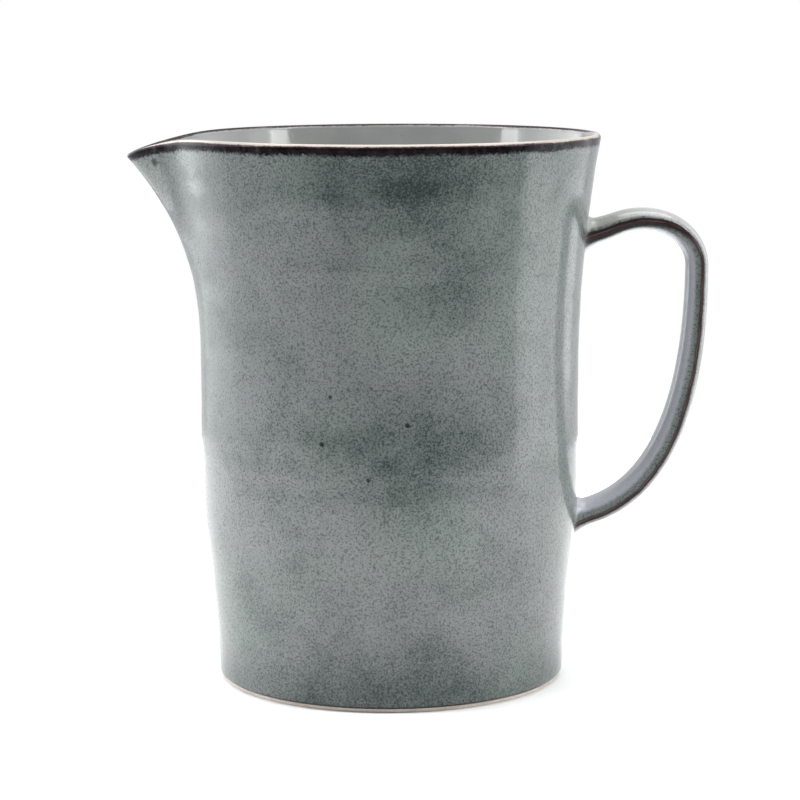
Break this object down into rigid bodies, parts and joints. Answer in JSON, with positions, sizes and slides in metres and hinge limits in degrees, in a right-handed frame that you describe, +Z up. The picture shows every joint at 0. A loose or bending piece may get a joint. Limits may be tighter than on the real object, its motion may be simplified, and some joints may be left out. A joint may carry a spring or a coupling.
{
  "type": "ceramic pitcher",
  "caption": "Round stoneware pitcher with a pulled pouring spout, a luted strap handle and a glazed body standing on a bare clay foot ring.",
  "frame": {"origin": "centre of the foot ring, in the plane that the pitcher stands on, on the axis of the turned body", "axes": "+Z up along the body's axis, +X towards the handle, -X towards the spout, Y across the strap"},
  "size_m": [0.1906, 0.1386, 0.18],
  "materials": {
    "bare_clay": "matte",
    "clay_body": "matte",
    "outer_glaze": "gloss",
    "inner_glaze": "gloss",
    "rim_glaze": "gloss",
    "handle_glaze": "gloss"
  },
  "bodies": {
    "root": {"foot_ring": "bare_clay", "floor_disc": "clay_body", "body_wall": "clay_body", "handle_strap": "clay_body", "upper_handle_joint": "clay_body", "lower_handle_joint": "clay_body", "outer_glaze": "outer_glaze", "inner_glaze": "inner_glaze", "rim_glaze": "rim_glaze", "handle_glaze": "handle_glaze", "underside_glaze": "inner_glaze"}
  },
  "joints": []
}
